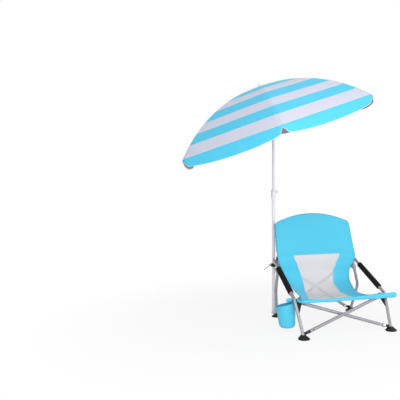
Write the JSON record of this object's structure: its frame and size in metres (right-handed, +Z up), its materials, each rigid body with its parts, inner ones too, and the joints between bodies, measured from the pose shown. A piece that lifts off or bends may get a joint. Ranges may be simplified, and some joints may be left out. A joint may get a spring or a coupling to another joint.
{
  "type": "umbrella chair",
  "caption": "Low folding sling chair with a tilting striped sun umbrella clamped to a rear upright and a cloth cup holder.",
  "frame": {"origin": "centre of the bounding box of the whole, on the floor", "axes": "+Z up; the chair faces -Y; +X to the sitter's left"},
  "size_m": [1.2558, 1.3386, 1.5556],
  "materials": {
    "steel_tube": "satin",
    "black_plastic": "satin",
    "foam": "matte",
    "blue_cloth": "matte",
    "striped_cloth": "matte",
    "white_pole": "gloss",
    "rivet": "polished"
  },
  "bodies": {
    "left_frame": {"left_leg_and_arm": "steel_tube", "left_upright": "steel_tube", "left_arm_rivet": "rivet", "left_grip": "foam", "left_front_foot": "black_plastic", "left_rear_foot": "black_plastic", "left_front_bracket": "black_plastic", "left_arm_bracket": "black_plastic", "sling": "blue_cloth", "cup_holder": "blue_cloth", "cup_strap": "blue_cloth", "pole_clamp": "black_plastic", "lower_pole": "white_pole", "pole_cap": "black_plastic", "pole_collar": "white_pole"},
    "front_bar_a": {"front_bar_a": "steel_tube", "front_cross_rivet": "rivet"},
    "front_bar_b": {"front_bar_b": "steel_tube"},
    "right_frame": {"right_leg_and_arm": "steel_tube", "right_upright": "steel_tube", "right_arm_rivet": "rivet", "right_grip": "foam", "right_front_foot": "black_plastic", "right_rear_foot": "black_plastic", "right_front_bracket": "black_plastic", "right_arm_bracket": "black_plastic"},
    "rear_bar_a": {"rear_bar_a": "steel_tube", "rear_cross_rivet": "rivet"},
    "rear_bar_b": {"rear_bar_b": "steel_tube"},
    "clamp_lever": {"clamp_lever": "rivet"},
    "collar_knob": {"collar_knob": "black_plastic"},
    "upper_pole": {"upper_pole": "white_pole", "knuckle_lower": "white_pole", "knuckle_pin": "rivet"},
    "canopy_head": {"knuckle_upper": "white_pole", "stub_pole": "white_pole", "crown": "black_plastic", "finial": "white_pole", "canopy": "striped_cloth"},
    "runner": {"runner": "black_plastic"},
    "rib_1": {"rib_1": "steel_tube"},
    "rib_2": {"rib_2": "steel_tube"},
    "rib_3": {"rib_3": "steel_tube"},
    "rib_4": {"rib_4": "steel_tube"},
    "rib_5": {"rib_5": "steel_tube"},
    "rib_6": {"rib_6": "steel_tube"},
    "stretcher_1": {"stretcher_1": "steel_tube"},
    "stretcher_2": {"stretcher_2": "steel_tube"},
    "stretcher_3": {"stretcher_3": "steel_tube"},
    "stretcher_4": {"stretcher_4": "steel_tube"},
    "stretcher_5": {"stretcher_5": "steel_tube"},
    "stretcher_6": {"stretcher_6": "steel_tube"}
  },
  "joints": [
    {"name": "fold", "type": "hinge", "parent": "left_frame", "child": "front_bar_a", "pos_m": [0.01082, -0.59479, 0.032], "axis": [0, -0.869, 0.4948], "range_deg": [0, 60], "deforming": ["sling"]},
    {"name": "front_scissor", "type": "hinge", "parent": "front_bar_a", "child": "front_bar_b", "pos_m": [0.25294, -0.55275, 0.10583], "axis": [0, -0.869, 0.4948], "range_deg": [-121, 1]},
    {"name": "right_frame_swing", "type": "hinge", "parent": "front_bar_b", "child": "right_frame", "pos_m": [0.49506, -0.59479, 0.032], "axis": [0, -0.869, 0.4948], "range_deg": [-1, 61]},
    {"name": "rear_fold", "type": "hinge", "parent": "left_frame", "child": "rear_bar_a", "pos_m": [0.0229, -0.07601, 0.032], "axis": [0, -0.9986, -0.0522], "range_deg": [-1, 49.88]},
    {"name": "rear_scissor", "type": "hinge", "parent": "rear_bar_a", "child": "rear_bar_b", "pos_m": [0.25294, -0.08404, 0.18563], "axis": [0, -0.9986, -0.0522], "range_deg": [-98.75, 1]},
    {"name": "clamp_turn", "type": "hinge", "parent": "left_frame", "child": "clamp_lever", "pos_m": [-0.00914, 0, 0.3283], "axis": [1, 0, 0], "range_deg": [-60, 90]},
    {"name": "knob_turn", "type": "hinge", "parent": "left_frame", "child": "collar_knob", "pos_m": [-0.00914, 0, 0.815], "axis": [1, 0, 0], "range_deg": [-180, 180]},
    {"name": "pole_slide", "type": "slide", "parent": "left_frame", "child": "upper_pole", "axis": [0, 0, 1], "range_m": [-0.1, 0.25]},
    {"name": "canopy_tilt", "type": "hinge", "parent": "upper_pole", "child": "canopy_head", "pos_m": [-0.00914, 0, 1.25], "axis": [0, 1, 0], "range_deg": [-25, 20.1]},
    {"name": "canopy_close", "type": "slide", "parent": "canopy_head", "child": "runner", "axis": [0.3437, 0, -0.9391], "range_m": [0, 0.139], "deforming": ["canopy"]},
    {"name": "rib_1_swing", "type": "hinge", "parent": "canopy_head", "child": "rib_1", "pos_m": [-0.10447, -0.02302, 1.49294], "axis": [0.9084, -0.2538, 0.3324], "range_deg": [-0.5, 64.4]},
    {"name": "rib_2_swing", "type": "hinge", "parent": "canopy_head", "child": "rib_2", "pos_m": [-0.08292, -0.01674, 1.50083], "axis": [0.6606, 0.7108, 0.2417], "range_deg": [-0.5, 64.4]},
    {"name": "rib_3_swing", "type": "hinge", "parent": "canopy_head", "child": "rib_3", "pos_m": [-0.07725, 0.00628, 1.5029], "axis": [-0.2478, 0.9646, -0.0907], "range_deg": [-0.5, 64.4]},
    {"name": "rib_4_swing", "type": "hinge", "parent": "canopy_head", "child": "rib_4", "pos_m": [-0.09313, 0.02302, 1.49709], "axis": [-0.9084, 0.2538, -0.3324], "range_deg": [-0.5, 64.4]},
    {"name": "rib_5_swing", "type": "hinge", "parent": "canopy_head", "child": "rib_5", "pos_m": [-0.11469, 0.01674, 1.4892], "axis": [-0.6606, -0.7108, -0.2417], "range_deg": [-0.5, 64.4]},
    {"name": "rib_6_swing", "type": "hinge", "parent": "canopy_head", "child": "rib_6", "pos_m": [-0.12036, -0.00628, 1.48713], "axis": [0.2478, -0.9646, 0.0907], "range_deg": [-0.5, 64.4]},
    {"name": "stretcher_1_swing", "type": "hinge", "parent": "runner", "child": "stretcher_1", "pos_m": [-0.07614, -0.0242, 1.43206], "axis": [-0.9084, 0.2538, -0.3324], "range_deg": [-0.5, 41.61]},
    {"name": "stretcher_2_swing", "type": "hinge", "parent": "runner", "child": "stretcher_2", "pos_m": [-0.05629, -0.01241, 1.43933], "axis": [-0.6606, -0.7108, -0.2417], "range_deg": [-0.5, 41.61]},
    {"name": "stretcher_3_swing", "type": "hinge", "parent": "runner", "child": "stretcher_3", "pos_m": [-0.05596, 0.01179, 1.43945], "axis": [0.2478, -0.9646, 0.0907], "range_deg": [-0.5, 41.61]},
    {"name": "stretcher_4_swing", "type": "hinge", "parent": "runner", "child": "stretcher_4", "pos_m": [-0.07548, 0.0242, 1.43231], "axis": [0.9084, -0.2538, 0.3324], "range_deg": [-0.5, 41.61]},
    {"name": "stretcher_5_swing", "type": "hinge", "parent": "runner", "child": "stretcher_5", "pos_m": [-0.09533, 0.01241, 1.42504], "axis": [0.6606, 0.7108, 0.2417], "range_deg": [-0.5, 41.61]},
    {"name": "stretcher_6_swing", "type": "hinge", "parent": "runner", "child": "stretcher_6", "pos_m": [-0.09566, -0.01179, 1.42492], "axis": [-0.2478, 0.9646, -0.0907], "range_deg": [-0.5, 41.61]}
  ],
  "couplings": [
    {"joint": "front_scissor", "follows": "fold", "ratio": -2},
    {"joint": "right_frame_swing", "follows": "fold", "ratio": 1},
    {"joint": "rear_fold", "follows": "fold", "ratio": 0.81461},
    {"joint": "rear_scissor", "follows": "fold", "ratio": -1.6292},
    {"joint": "rib_1_swing", "follows": "canopy_close", "rad_per_m": 8.0235},
    {"joint": "rib_2_swing", "follows": "canopy_close", "rad_per_m": 8.0235},
    {"joint": "rib_3_swing", "follows": "canopy_close", "rad_per_m": 8.0235},
    {"joint": "rib_4_swing", "follows": "canopy_close", "rad_per_m": 8.0235},
    {"joint": "rib_5_swing", "follows": "canopy_close", "rad_per_m": 8.0235},
    {"joint": "rib_6_swing", "follows": "canopy_close", "rad_per_m": 8.0235},
    {"joint": "stretcher_1_swing", "follows": "canopy_close", "rad_per_m": 5.1624},
    {"joint": "stretcher_2_swing", "follows": "canopy_close", "rad_per_m": 5.1624},
    {"joint": "stretcher_3_swing", "follows": "canopy_close", "rad_per_m": 5.1624},
    {"joint": "stretcher_4_swing", "follows": "canopy_close", "rad_per_m": 5.1624},
    {"joint": "stretcher_5_swing", "follows": "canopy_close", "rad_per_m": 5.1624},
    {"joint": "stretcher_6_swing", "follows": "canopy_close", "rad_per_m": 5.1624}
  ]
}
